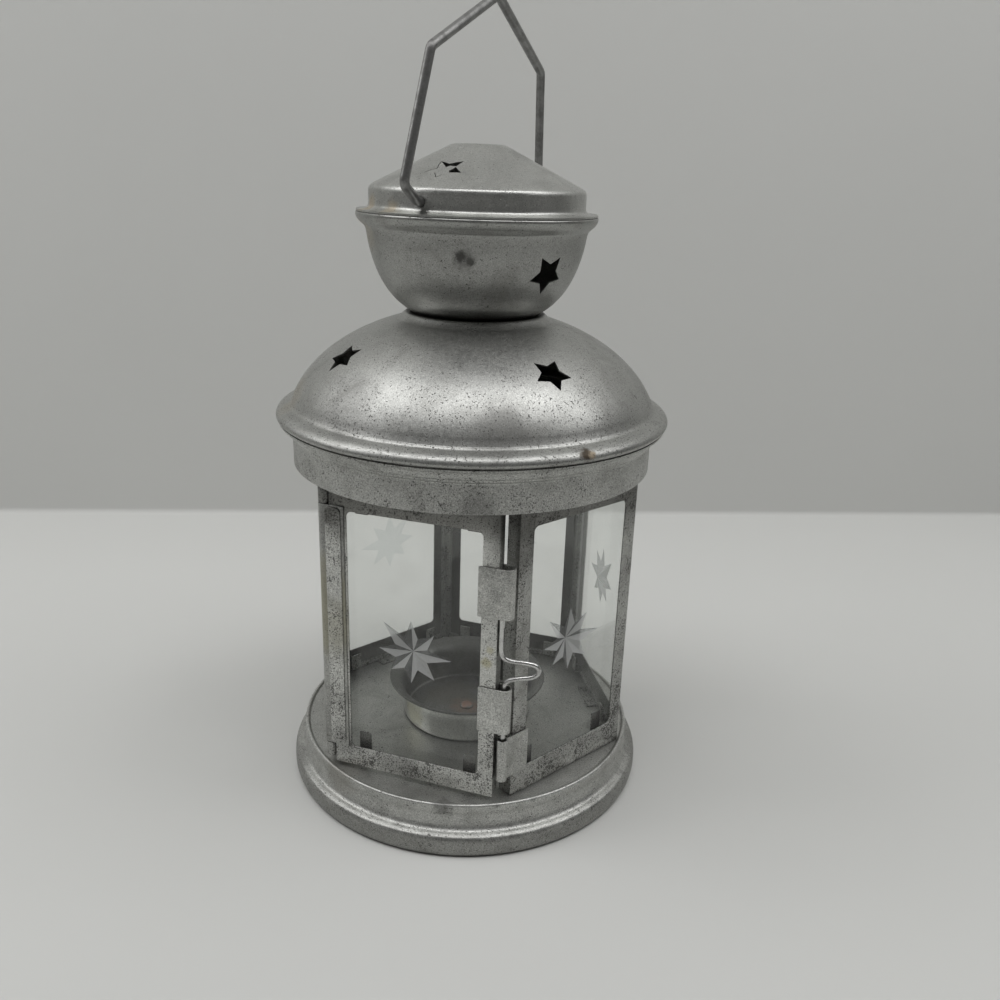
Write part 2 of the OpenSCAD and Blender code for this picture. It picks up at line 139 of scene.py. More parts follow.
def zinc(name, tone, rough, pepper, grime, stains=(), waves=0.10, grit=1.0, bands=()):
    """Aged zinc-coated sheet: gritty frosted grain, dark pits in crowds, cloudy grime, painted shade in
    the corners and crevices, and stains at given places, each a place, a radius, a colour and a share.
    Bands make it darker from one height to another: the two heights, more pits, and a share of black,
    which on the cage and door tops is painted shade."""
    f = Finish(name)
    grain = f.noise(0.34, 2.0, 0.75)
    frost = f.noise(1.0, 3.0, 0.7)
    cloud = f.noise(13.0, 4.0, 0.6, 0.6)
    broad = f.noise(22.0, 2.0, 0.5)
    crowd = f.step(f.noise(6.0, 4.0, 0.7, 0.3), 0.42, 0.66)
    level = f.node("ShaderNodeSeparateXYZ", {}, {"Vector": f.place}, "Z") + (cloud - 0.5) * 14.0
    dirt_and_shade = 0.0
    # Each band adds pits and a share of black; the black on the cage and door tops is painted shade
    # under the collar.
    for start, end, pits, share in bands:
        reach = f.step(level, start, end)
        crowd = crowd + reach * pits
        dirt_and_shade = dirt_and_shade + reach * share
    speck = f.step(f.noise(0.5, 2.0, 0.65) + crowd * (0.085 * pepper),
                   0.675 - 0.05 * pepper, 0.705 - 0.03 * pepper)
    fleck = f.step(f.noise(1.15, 4.0, 0.72) + crowd * (0.10 * pepper), 0.69, 0.72)
    pit = f.node("ShaderNodeMath", {"operation": "MAXIMUM"}, {0: speck, 1: fleck})
    light = 1.0 + (grain - 0.5) * (2.3 * grit) + (frost - 0.5) * (0.6 * grit) + (broad - 0.5) * 0.3
    clean = f.node("ShaderNodeVectorMath", {"operation": "SCALE"},
                   {0: (tone, tone * 1.005, tone * 0.965), "Scale": light})
    dull, black, blackest = (0.15, 0.147, 0.132, 1), (0.06, 0.058, 0.05, 1), (0.045, 0.042, 0.037, 1)
    colour = f.mix(f.step(cloud, 0.45, 0.75) * grime, clean, dull)
    worn = 0.0
    for where, radius, tint, share in stains:
        mask = f.spot(where, radius) * share
        colour = f.mix(mask, colour, (*tint, 1))
        worn = worn + mask
    colour = f.mix(dirt_and_shade, colour, black)
    # Painted shade: darker where surfaces close in, in corners and between parts.
    crevice_shade = f.node("ShaderNodeAmbientOcclusion", {"samples": 4}, {"Distance": 1.8 * mm}, "AO")
    colour = f.mix(f.step(1.0 - crevice_shade, 0.25, 0.85) * 0.8, colour, blackest)
    colour = f.mix(pit * 0.82, colour, blackest)
    metal = f.node("ShaderNodeClamp", {}, {0: 0.97 - pit * 0.7 - worn * 0.45})
    gloss = rough + (frost - 0.5) * 0.25 + (cloud - 0.5) * 0.2 + pit * 0.25 + worn * 0.12
    height = (grain - 0.5) * (0.04 * grit) + (frost - 0.5) * 0.03 - pit * 0.05 + (broad - 0.5) * waves
    normal = f.node("ShaderNodeBump", {}, {"Height": height, "Distance": mm, "Strength": 1.0})
    return f.out(f.node("ShaderNodeBsdfPrincipled", {}, {
        "Base Color": colour, "Metallic": metal, "Roughness": gloss, "Normal": normal}))


def smooth_line(points, steps=5):
    """More points on one smooth line through the given ones."""
    ends = [2 * Vector(points[0]) - Vector(points[1]), *map(Vector, points),
            2 * Vector(points[-1]) - Vector(points[-2])]
    line = []
    for a, b, c, d in zip(ends, ends[1:], ends[2:], ends[3:]):
        for k in range(steps):
            t = k / steps
            line.append(0.5 * (2 * b + t * (c - a) + t * t * (2 * a - 5 * b + 4 * c - d)
                               + t ** 3 * (3 * b - a - 3 * c + d)))
    return line + [Vector(points[-1])]


def placed(name, bm, material):
    """The finished mesh as an object at the origin."""
    mesh = bpy.data.meshes.new(name)
    bm.to_mesh(mesh)
    bm.free()
    piece = bpy.data.objects.new(name, mesh)
    bpy.context.scene.collection.objects.link(piece)
    mesh.materials.append(material)
    return piece


def settled(piece, corner=35):
    """Its modifiers are worked into the mesh, which is shaded smooth up to a corner angle."""
    bpy.context.view_layer.update()
    whole = piece.evaluated_get(bpy.context.evaluated_depsgraph_get())
    mesh = bpy.data.meshes.new_from_object(whole)
    piece.modifiers.clear()
    piece.data = mesh
    mesh.polygons.foreach_set("use_smooth", [True] * len(mesh.polygons))
    mesh.set_sharp_from_angle(angle=radians(corner))
    return piece


def spun_sheet(name, line, wall, material, side=-1, around=192):
    """Sheet pressed to a round form: a line of radius and height, spun, then given its wall on
    one side or the other."""
    bm = bmesh.new()
    rim = [bm.verts.new((r * mm, 0, z * mm)) for r, z in line]
    edges = [bm.edges.new(pair) for pair in zip(rim, rim[1:])]
    bmesh.ops.spin(bm, geom=rim + edges, cent=(0, 0, 0), axis=(0, 0, 1), angle=2 * pi,
                   steps=around, use_merge=True)
    bmesh.ops.remove_doubles(bm, verts=bm.verts, dist=0.002 * mm)
    bmesh.ops.recalc_face_normals(bm, faces=bm.faces)
    piece = placed(name, bm, material)
    thick = piece.modifiers.new("wall", "SOLIDIFY")
    thick.thickness = wall * mm
    thick.offset = side
    thick.use_even_offset = True
    return piece


def stands_for(piece, body, slot, *nodes):
    """It rides on its body in place of the plain parts that it stands for."""
    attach(piece, body)
    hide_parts(*nodes)
    return piece


sheet = 0.5
tray_line = smooth_line([
    (1.36, 14.6), (12, 14.6), (30, 14.6), (45, 14.6), (50.4, 14.62), (51.45, 14.72), (51.75, 15.15),
    (52.2, 15.32), (52.65, 15.1), (52.82, 14.5), (52.72, 13.2), (52.5, 11.6), (52.65, 9.8),
    (53.05, 8.3), (53.8, 7.35), (54.9, 6.95), (55.75, 6.4), (56.25, 5.3), (56.38, 3.8), (56.35, 2.2),
    (56.0, 0.9), (55.35, 0.15), (54.45, 0.0)])
grime_brown = (0.16, 0.14, 0.11)
soot = (0.05, 0.048, 0.044)
# Its band makes the bead darker towards the bottom, with more pits.
tray_zinc = zinc("zinc_tray", 0.50, 0.45, 0.6, 0.35, [
    ((12, -50, 14.6), 4, soot, 0.5), ((27, -47, 15), 2.2, soot, 0.9), ((36, -40, 15), 1.6, soot, 0.9),
    ((-22, -46, 14), 9, grime_brown, 0.4), ((0, 0, 14.6), 30, grime_brown, 0.2)],
    0.1, 0.8, [(8.5, 5.0, 0.3, 0.42)])
tray = settled(spun_sheet("tray_pressed", tray_line, sheet, tray_zinc))
stands_for(tray, "lantern", "zinc_sheet", "base_tray")

# Cage. One strip of sheet bent to five sides of a hexagon, each with a window cut in it, its
# free edges turned in at the door, tabs folded behind the panes, and feet spot-welded on.


def folded_sheet(name, node, material, edge=0.1, bend=0.0, body="lantern", slot="zinc_sheet", lap=None):
    """A part bent from flat sheet, with its cut edges eased, its bends rounded, and where lap
    gives two corners and a finish, a second thickness of sheet laid on it."""
    bm = bmesh.new()
    bm.from_mesh(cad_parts[node].data)
    bmesh.ops.remove_doubles(bm, verts=bm.verts, dist=0.002 * mm)
    bmesh.ops.dissolve_limit(bm, angle_limit=radians(1), verts=bm.verts, edges=bm.edges)
    if bend:
        # The long upright bends between the sides of the hexagon.
        bends = [e for e in bm.edges if e.is_manifold and 50 < abs(e.calc_face_angle(0)) * 180 / pi < 70
                 and e.calc_length() > 60 * mm and abs((e.verts[0].co - e.verts[1].co).xy.length) < mm]
        outer = [e for e in bends if e.verts[0].co.xy.length > 51 * mm]
        inner = [e for e in bends if e not in outer]
        for group, size in ((outer, bend), (inner, bend * 0.55)):
            bmesh.ops.bevel(bm, geom=[e for e in group if e.is_valid], offset=size * mm,
                            offset_type="OFFSET", segments=4, profile=0.5, affect="EDGES", material=-1)
    if lap:
        low, high = Vector(lap[0]) * mm, Vector(lap[1]) * mm
        strip = bmesh.ops.create_cube(bm, size=1)["verts"]
        bmesh.ops.scale(bm, verts=strip, vec=high - low)
        bmesh.ops.translate(bm, verts=strip, vec=(low + high) / 2)
        for v in strip:
            for face in v.link_faces:
                face.material_index = 1
        upright = {e for v in strip for e in v.link_edges
                   if abs((e.verts[0].co - e.verts[1].co).y) > 0.2 * mm}
        bmesh.ops.bevel(bm, geom=list(upright), offset=1.3 * mm, offset_type="OFFSET", segments=5,
                        profile=0.5, affect="EDGES", material=-1)
    piece = placed(name, bm, material)
    if lap:
        piece.data.materials.append(lap[2])
    ease = piece.modifiers.new("eased", "BEVEL")
    ease.width = edge * mm
    ease.segments = 2
    ease.limit_method = "ANGLE"
    ease.angle_limit = radians(40)
    ease.use_clamp_overlap = False
    ease.harden_normals = False
    settled(piece, 40)
    return stands_for(piece, body, slot, node)


# Its upper band paints shade on the cage's top rails under the collar; its lower band crowds the pits
# towards the bottom.
cage_zinc = zinc("zinc_cage", 0.42, 0.42, 1.15, 0.45, [
    ((-44, -26, 60), 16, grime_brown, 0.4), ((26, -44, 90), 10, soot, 0.25)], 0.16, 0.85,
    [(82, 96, 0.4, 0.55), (55, 18, 0.6, 0.0)])
folded_sheet("cage_folded", "cage_frame", cage_zinc, 0.1, 0.7)
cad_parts["top_ring"].data.materials.clear()
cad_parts["top_ring"].data.materials.append(cage_zinc)

# Collar. A short ring of sheet round the head of the cage, stepped out at a pressed seam to
# the flange that carries the dome.
collar_line = smooth_line([
    (56.7, 115.3), (56.0, 115.25), (55.2, 114.5), (54.6, 113.4), (54.25, 112.75), (53.85, 112.3),
    (53.75, 111.85), (53.3, 111.55), (53.0, 111.2), (52.98, 110.2), (53.0, 108), (53.0, 105.5),
    (53.0, 103.0)])
collar_zinc = zinc("zinc_collar", 0.45, 0.42, 0.85, 0.4, [((20, -50, 104), 7, soot, 0.35)], 0.1, 0.95)
collar = settled(spun_sheet("collar_pressed", collar_line, sheet, collar_zinc, 1))
stands_for(collar, "lantern", "zinc_sheet", "collar_ring")

# Dome. Sheet pressed to half an egg, its rim rolled over the flange of the collar, with four
# five-pointed stars punched high on its side to let the warm air out.
punch_long = 7
star_waist = 0.53


def punched(piece, cutters):
    """Cuts the given punches through a sheet."""
    for cutter in cutters:
        cut = piece.modifiers.new("punch", "BOOLEAN")
        cut.operation = "DIFFERENCE"
        cut.solver = "EXACT"
        cut.object = cutter
    settled(piece)
    for cutter in cutters:
        bpy.data.objects.remove(cutter)
    return piece


def struck(bm, az, r, z, lean):
    """A flat outline made a punch, standing square on a round wall."""
    grown = bmesh.ops.extrude_face_region(bm, geom=bm.faces[:])
    top = [v for v in grown["geom"] if isinstance(v, bmesh.types.BMVert)]
    bmesh.ops.translate(bm, verts=top, vec=(0, 0, punch_long * mm))
    bmesh.ops.translate(bm, verts=bm.verts, vec=(0, 0, -punch_long / 2 * mm))
    bmesh.ops.recalc_face_normals(bm, faces=bm.faces)
    stand = (Matrix.Rotation(radians(az), 4, "Z") @ Matrix.Translation((0, -r * mm, z * mm))
             @ Matrix.Rotation(radians(90 - lean), 4, "X"))
    bmesh.ops.transform(bm, matrix=stand, verts=bm.verts)
    return placed("punch", bm, None)


def star_punch(az, r, z, lean, size):
    """A five-pointed star, one tip down."""
    bm = bmesh.new()
    bmesh.ops.create_circle(bm, cap_ends=True, segments=10, radius=size * mm)
    for v in bm.verts:
        if round(v.co.xy.angle_signed(Vector((0, -1))) / (pi / 5)) % 2:
            v.co *= star_waist
    return struck(bm, az, r, z, lean)


dome_a = 54.62
dome_b = 34.86
dome_mid = 112.51
dome_first = 66.3
dome_last = 16.9
dome_curve = [(dome_a * cos(radians(q)), dome_mid + dome_b * sin(radians(q)))
              for q in [dome_first + (dome_last - dome_first) * k / 44 for k in range(45)]]
dome_line = smooth_line([(17.6, 146.2), (19.2, 146.2), (20.1, 146.1), (20.9, 145.4)], 4) + [
    Vector(p) for p in dome_curve] + smooth_line([
        (52.9, 120.95), (53.6, 120.15), (54.7, 119.75), (56.0, 119.2), (57.0, 118.4), (57.5, 117.4),
        (57.35, 116.7), (56.8, 116.32), (55.4, 116.3)], 4)
tan_stain = (0.42, 0.34, 0.22)
dome_zinc = zinc("zinc_dome", 0.39, 0.41, 0.55, 0.3, [
    ((-16, -45, 125), 13, soot, 0.30), ((24, -46, 124), 10, soot, 0.34),
    ((44.1, -36.4, 118.8), 2.9, (0.06, 0.045, 0.03), 1.0),
    ((45.0, -35.2, 118.2), 1.5, (0.34, 0.28, 0.2), 0.9),
    ((-44, -30, 124), 9, tan_stain, 0.22)], 0.1, 0.55, [(134, 118, 0.5, 0.0)])
star_r = 40.7
star_z = dome_mid + dome_b * sqrt(1 - (star_r / dome_a) ** 2)
star_lean = 54.5
dome = spun_sheet("dome_pressed", dome_line, sheet, dome_zinc)
punched(dome, [star_punch(-40.3 + 90 * k, star_r, star_z, star_lean, 5.6) for k in range(4)])
stands_for(dome, "lantern", "zinc_sheet", "dome")

# Vent bowl. A small pressed bowl that stands on the neck of the dome, with a star punched in
# each side and its upper edge rolled outward.
bowl_line = smooth_line([
    (32.4, 173.38), (33.2, 173.4), (33.7, 173.15), (33.8, 172.5), (33.5, 171.7), (32.9, 170.8),
    (32.1, 170.1), (31.35, 169.4), (30.95, 168.2)], 4) + smooth_line([
        (30.7, 166.5), (30.2, 164), (29.45, 161.3), (28.4, 158.3), (27.0, 155.3), (25.2, 152.4),
        (22.9, 149.7), (20.6, 147.8), (19.4, 147.0), (18.7, 146.45), (17.7, 146.25), (17.5, 145.75)], 5)
bowl_zinc = zinc("zinc_bowl", 0.34, 0.37, 0.45, 0.45, [
    ((7.2, -29.2, 163.3), 3.8, soot, 0.4), ((6.4, -29.4, 164.0), 2.1, soot, 0.8),
    ((8.8, -28.6, 162.8), 1.6, soot, 0.7),
    ((-24, -19, 168), 7, tan_stain, 0.25)], 0.1, 0.55)
bowl = spun_sheet("bowl_pressed", bowl_line, sheet, bowl_zinc)
punched(bowl, [star_punch(60.7 + 180 * k, 27.7, 159.8, -27, 5.7) for k in range(2)])
stands_for(bowl, "lantern", "zinc_sheet", "vent_bowl")

# Vent cap. A low cone with a flat top and an upright wall, closing the bowl. The punch went
# through cleanly at the back, but only in part at the front, where it left a cut flap.
cap_line = smooth_line([(0, 191.4), (3.5, 191.4), (6.4, 191.38), (7.5, 191.15), (8.8, 190.6)], 4) + [
    Vector((8.8 + 19.6 * k / 12, 190.6 - 9.65 * k / 12)) for k in range(1, 12)] + smooth_line([
        (28.4, 180.95), (29.2, 180.5), (29.8, 180.0), (30.1, 179.2), (30.15, 178.0), (30.15, 176.5),
        (30.2, 175.4), (30.4, 174.75), (31.0, 174.3), (32.1, 174.0), (33.65, 173.92)], 4)
cap_zinc = zinc("zinc_cap", 0.45, 0.38, 0.3, 0.35, [
    ((-24, -20, 174.8), 4.5, tan_stain, 0.6), ((-14, -28, 174.6), 3.5, tan_stain, 0.5)], 0.1, 0.5)
cap = spun_sheet("cap_pressed", cap_line, sheet, cap_zinc)
cap_lean = 63.3
bail_az = -8.4
pivot_z = 176.8


def round_punch(az, z, width):
    """A round punch straight through both sides."""
    bm = bmesh.new()
    bmesh.ops.create_cone(bm, cap_ends=True, segments=32, radius1=width / 2 * mm,
                          radius2=width / 2 * mm, depth=80 * mm)
    bmesh.ops.transform(bm, verts=bm.verts, matrix=Matrix.Translation((0, 0, z * mm))
                        @ Matrix.Rotation(radians(az), 4, "Z") @ Matrix.Rotation(radians(90), 4, "X"))
    return placed("punch", bm, None)


# Its star lies on the cone, which falls 10.9 in a run of 21.7.
cap_star_z = 191.4 - (20.3 - 7.9) * 10.9 / 21.7
cap_star = (-4.9, 20.3, cap_star_z, cap_lean)
torn = [
    [(-3.0, 4.05), (-0.2, 2.95), (3.4, 4.4), (2.35, 1.7), (0.5, 2.0), (-0.45, 1.3)],
    [(2.4, 1.3), (5.25, -1.7), (1.95, -1.8), (1.25, -0.6)],
    [(-5.1, -2.1), (-4.05, -0.65), (-2.6, 0.55), (-3.0, 2.1), (-3.0, 4.0),
     (-2.78, 3.95), (-2.78, 2.05), (-2.36, 0.48), (-3.85, -0.75), (-4.9, -2.05)],
    [(-1.95, -2.15), (-0.4, -4.8), (0.4, -3.35), (0.6, -3.28), (-0.38, -5.1), (-2.1, -2.3)]]


def torn_punch(outline):
    """One of the openings that the worn punch left at the front of the cap."""
    bm = bmesh.new()
    bm.faces.new([bm.verts.new((x * mm, y * mm, 0)) for x, y in outline])
    return struck(bm, *cap_star)


def dented(piece, az, r, z, reach, depth):
    """Pushes the sheet in round a place."""
    turn = Matrix.Rotation(radians(az), 3, "Z")
    at = turn @ Vector((0, -r * mm, z * mm))
    push = turn @ Vector((0, cos(radians(cap_lean)), -sin(radians(cap_lean)))) * depth * mm
    for v in piece.data.vertices:
        v.co += push * 2.718 ** (-((v.co - at).length / (reach * mm)) ** 2)


dented(cap, -4.9, 20.3, cap_star_z, 3.2, 0.45)
punched(cap, [torn_punch(outline) for outline in torn]
        + [star_punch(cap_star[0] + 180, *cap_star[1:], 5.5), round_punch(bail_az, pivot_z, 2.66)])
stands_for(cap, "lantern", "zinc_sheet", "vent_cap")

# Bail. Stiff dark wire bent to a pointed loop, its ends hooked inward through two holes in the
# wall of the cap, so that it swings over the top.


def bent_line(corners, bend, steps=8):
    """Points along a wire bent at the given corners."""
    line = [Vector(corners[0])]
    for a, b, c in zip(corners, corners[1:], corners[2:]):
        a, b, c = Vector(a), Vector(b), Vector(c)
        back, on = (a - b).normalized(), (c - b).normalized()
        cut = min(bend * tan((pi - back.angle(on)) / 2), (a - b).length * 0.48, (c - b).length * 0.48)
        for k in range(steps + 1):
            t = k / steps
            line.append(b + (1 - t) ** 2 * cut * back + t * t * cut * on)
    return line + [Vector(corners[-1])]


def wire(name, line, width, material, stand, around=6):
    """Round wire along a line, closed at both ends."""
    path = bpy.data.curves.new(name, "CURVE")
    path.dimensions = "3D"
    path.bevel_depth = width / 2 * mm
    path.bevel_resolution = around
    path.use_fill_caps = True
    run = path.splines.new("POLY")
    run.points.add(len(line) - 1)
    for point, at in zip(run.points, line):
        point.co = (*(stand @ (Vector((at[0], at[1], at[2])) * mm)), 1)
    held = bpy.data.objects.new(name, path)
    bpy.context.scene.collection.objects.link(held)
    bpy.context.view_layer.update()
    mesh = bpy.data.meshes.new_from_object(held.evaluated_get(bpy.context.evaluated_depsgraph_get()))
    bpy.data.objects.remove(held)
    bm = bmesh.new()
    bm.from_mesh(mesh)
    bmesh.ops.remove_doubles(bm, verts=bm.verts, dist=0.002 * mm)
    bmesh.ops.recalc_face_normals(bm, faces=bm.faces)
    piece = placed(name, bm, material)
    return settled(piece, 50)


def drawn_wire(name, tone, rough, dark):
    """Drawn wire, with fine scratches and patches of dull oxide."""
    f = Finish(name)
    fine = f.noise(0.35, 3.0, 0.6)
    patch = f.noise(3.5, 4.0, 0.65)
    rub = f.step(patch, 0.42, 0.66)
    bright = f.node("ShaderNodeVectorMath", {"operation": "SCALE"},
                    {0: (tone, tone, tone * 0.98), "Scale": 0.75 + fine * 0.5})
    colour = f.mix(rub * dark, bright, (tone * 0.35, tone * 0.34, tone * 0.33, 1))
    normal = f.node("ShaderNodeBump", {}, {"Height": fine * 0.02 + patch * 0.03, "Distance": mm})
    return f.out(f.node("ShaderNodeBsdfPrincipled", {}, {
        "Base Color": colour, "Metallic": 0.95 - rub * (0.3 * dark),
        "Roughness": rough + (patch - 0.5) * 0.25, "Normal": normal}))


bail_half = [(27.25, 0, 3.4), (27.25, 0, 0), (31.75, 0, 0), (38.55, 0, 4.3), (30.95, 0, 35.5)]
bail_line = bent_line(bail_half + [(0, 0, 51)] + [(-x, y, z) for x, y, z in reversed(bail_half)], 2.4)
bail_stand = (Matrix.Translation((0, 0, pivot_z * mm)) @ Matrix.Rotation(radians(bail_az - 90), 4, "Z")
              @ Matrix.Rotation(radians(-5.3), 4, "X"))
bail_gauge = 2.5
bail = wire("bail_bent", bail_line, bail_gauge, drawn_wire("wire_dark", 0.26, 0.40, 0.5), bail_stand)
stands_for(bail, "bail", "bail_wire", "bail_handle")

# Door. A flat sheet with a window, its upright edges turned in for stiffness, and tabs behind
# the pane. The leaf on its left edge and the cage's knuckles are rolled round the hinge pin, the
# two clips on its right edge and the catch on the cage round the latch rod.
# Its upper band paints shade on the door's top rail under the collar; its lower band crowds the pits,
# and darkens a little, towards the bottom.
door_zinc = zinc("zinc_door", 0.60, 0.42, 1.05, 0.35, [
    ((21.6, -44.5, 59), 2.2, (0.42, 0.38, 0.16), 0.5), ((22.6, -44.5, 63), 1.6, (0.42, 0.38, 0.16), 0.4),
    ((-21, -45, 24), 7, soot, 0.35), ((-4, -44.5, 19), 9, soot, 0.3),
    ((-24, -45, 62), 11, (0.42, 0.40, 0.29), 0.35)],
    0.16, 0.8, [(88, 98, 0.4, 0.7), (64, 22, 0.7, 0.05)])
leaf_zinc = zinc("zinc_leaf", 0.42, 0.44, 0.35, 0.4, [
    ((-27, -45, 66), 19, (0.36, 0.345, 0.26), 0.75), ((-27, -45, 30), 8, soot, 0.2)],
    0.12, 0.8, [(40, 20, 0.8, 0.1)])
clip_zinc = zinc("zinc_clip", 0.52, 0.40, 0.5, 0.4, [((24, -45, 80), 3, soot, 0.3)], 0.1, 1.0)
folded_sheet("door_folded", "door_frame", door_zinc, 0.1, 0.0, "door")
folded_sheet("leaf_rolled", "hinge_leaf", leaf_zinc, 0.1, 0.0, "door",
             lap=((-25.8, -45.45, 23.4), (-21.2, -44.9, 97.5), door_zinc))
folded_sheet("clip_upper_bent", "clip_upper", clip_zinc, 0.12, 0.0, "door")
folded_sheet("clip_lower_bent", "clip_lower", clip_zinc, 0.12, 0.0, "door")
folded_sheet("knuckle_upper_rolled", "knuckle_upper", cage_zinc, 0.1)
folded_sheet("knuckle_lower_rolled", "knuckle_lower", cage_zinc, 0.1)
folded_sheet("catch_rolled", "latch_catch", clip_zinc, 0.12)

# Hinge pin. A straight length of bright wire dropped through the rolled leaf and knuckles, its
# upper end spread to a low head that keeps it from falling through.


def turned(name, line, material, at, around=48):
    """A small solid piece of round wire or rivet, given by the line of its outside."""
    bm = bmesh.new()
    rim = [bm.verts.new((r * mm, 0, z * mm)) for r, z in line]
    edges = [bm.edges.new(pair) for pair in zip(rim, rim[1:])]
    bmesh.ops.spin(bm, geom=rim + edges, cent=(0, 0, 0), axis=(0, 0, 1), angle=2 * pi,
                   steps=around, use_merge=True)
    bmesh.ops.remove_doubles(bm, verts=bm.verts, dist=0.002 * mm)
    bmesh.ops.recalc_face_normals(bm, faces=bm.faces)
    bmesh.ops.translate(bm, verts=bm.verts, vec=Vector(at) * mm)
    return settled(placed(name, bm, material), 50)


wire_bright = drawn_wire("wire_bright", 0.62, 0.25, 0.35)
pin_low, pin_high = 17.3, 102.6
pin = turned("pin_drawn", [(0, pin_low), (0.9, pin_low), (1.2, pin_low + 0.3), (1.25, pin_low + 0.6),
                           (1.25, pin_high), (1.6, pin_high + 0.02), (1.62, pin_high + 0.14),
                           (1.4, pin_high + 0.26), (0.8, pin_high + 0.3), (0, pin_high + 0.3)],
             wire_bright, (-26.78, -43.254, 0))
stands_for(pin, "lantern", "bright_wire", "hinge_pin")

# Latch rod. Thin bright wire held by the two clips, with a loop for the thumb bent out of it.
# It lifts to free the door and drops towards the rolled catch beside it.
rod_line = [(0, 0, z) for z in (35.52, 40, 46)] + smooth_line([
    (0, 0, 50.0), (0.1, 0, 52.4), (1.2, 0, 53.9), (4.0, 0, 54.5), (7.2, 0, 54.9), (8.9, 0, 55.9),
    (9.2, 0, 57.2), (8.2, 0, 58.5), (5.4, 0, 59.3), (1.6, 0, 59.8), (-0.5, 0, 60.9),
    (-1.25, 0, 62.9), (-1.3, 0, 66)], 6) + [(-1.3, 0, z) for z in (72, 80, 85.3)]
rod_gauge = 1.4
rod_stand = Matrix.Translation((26.5 * mm, -43.014 * mm, 0)) @ Matrix.Rotation(radians(20), 4, "Z")
rod = wire("rod_bent", rod_line, rod_gauge, wire_bright, rod_stand, 4)
stands_for(rod, "latch", "bright_wire", "latch_rod")

# Candle cup. A shallow pressed cup for a tealight, its lip flared wide, held to the floor of
# the tray by one rivet through the middle.
cup_line = smooth_line([
    (25.45, 27.45), (24.6, 27.1), (23.6, 26.6), (22.6, 25.95), (21.8, 25.1), (21.3, 24.1), (21.05, 22.6),
    (20.95, 20), (20.85, 17.2), (20.7, 15.6), (20.3, 14.9), (19.6, 14.63), (17, 14.6), (10, 14.6),
    (1.36, 14.6)], 4)
cup_zinc = zinc("zinc_cup", 0.66, 0.34, 0.2, 0.3,
                [((-12, -17, 20), 7, (0.55, 0.52, 0.34), 0.5)], 0.1, 0.5)
cup_dark_inside = zinc("zinc_cup_dark_inside", 0.24, 0.5, 0.5, 0.5, [
    ((0, 0, 15), 7, (0.30, 0.20, 0.15), 0.6), ((-8, 6, 15), 12, grime_brown, 0.5)], 0.1, 0.6)
cup = settled(spun_sheet("cup_pressed", cup_line, sheet, cup_zinc, 1))
cup.data.materials.append(cup_dark_inside)
# The faces that look up or inward, the inside, are given the darker finish.
for p in cup.data.polygons:
    p.material_index = 1 if p.normal.z > 0.35 or p.normal.xy.dot(p.center.xy.normalized()) < -0.2 else 0
stands_for(cup, "lantern", "cup_sheet", "candle_cup")
rust = zinc("rivet_rusted", 0.36, 0.5, 0.1, 0.3, [((0, 0, 16), 3.0, (0.36, 0.22, 0.17), 0.9)])
rivet = turned("rivet_domed", [(0, 13.6), (1.4, 13.6), (1.8, 13.85), (1.8, 14.08), (1.3, 14.1),
                               (1.3, 15.08), (2.2, 15.1), (2.2, 15.4), (2.05, 15.75), (1.6, 16.05),
                               (0.9, 16.18), (0, 16.2)], rust, (0, 0, 0))
stands_for(rivet, "lantern", "bright_wire", "cup_rivet")

# Panes. Six pieces of clear glass behind the windows, with a few specks of dust. Each has an
# eight-pointed star cut in its outer face, two ground facets to a point, one painted lit and the other
# painted in shade.
apothem = 44.514
pane_front = apothem - sheet - 0.02
pane_low, pane_high = 16.8, 102.1
pane_thick = 2
corner_gap = 1.2
star_deep = 1.5
star_wide = 12.1
star_turn = pi / 2.2
notch = 0.43
star_lengths = (0.80, 1.0, 0.83, 0.78, 0.72, 0.82, 0.98, 0.84)
painted_facet_turn = Vector((-0.45, 0.9, 0))


def clear_glass():
    """Thin clear glass with specks of dust."""
    f = Finish("glass_clear")
    specks = f.step(f.noise(0.8, 2.0, 0.6), 0.74, 0.80)
    dust = specks * 0.3 + f.step(f.noise(16, 3.0, 0.6), 0.4, 0.8) * 0.03
    edge = f.node("ShaderNodeLayerWeight", {}, {}, "Facing") ** 4 * 0.45 + 0.03
    through = f.node("ShaderNodeBsdfTransparent", {}, {"Color": (0.985, 0.99, 0.985, 1)})
    shine = f.node("ShaderNodeBsdfGlossy", {}, {"Color": (1, 1, 1, 1), "Roughness": 0.03})
    film = f.node("ShaderNodeBsdfPrincipled", {}, {
        "Base Color": (0.62, 0.62, 0.58, 1), "Roughness": 0.8})
    glass = f.node("ShaderNodeMixShader", {}, {0: edge, 1: through, 2: shine})
    return f.out(f.node("ShaderNodeMixShader", {}, {0: dust, 1: glass, 2: film}))


def ground_glass(name, share, tone):
    """One kind of ground facet of a cut star; it is made once with a painted-lit tone and once with a
    painted-shaded tone.
    """
    f = Finish(name)
    fine = f.noise(0.3, 2.0, 0.6)
    through = f.node("ShaderNodeBsdfTransparent", {}, {"Color": (0.9, 0.92, 0.92, 1)})
    frost = f.node("ShaderNodeBsdfPrincipled", {}, {
        "Base Color": (tone, tone * 1.01, tone, 1), "Roughness": 0.3 + fine * 0.2})
    shown = share * (0.8 + fine * 0.4)
    return f.out(f.node("ShaderNodeMixShader", {}, {0: shown, 1: through, 2: frost}))


glass = clear_glass()
near_star = (ground_glass("glass_ground_painted_lit", 0.68, 0.60), ground_glass("glass_ground_painted_shade", 0.48, 0.26))
far_star = (ground_glass("glass_faint_painted_lit", 0.05, 0.8), ground_glass("glass_faint_painted_shade", 0.03, 0.6))


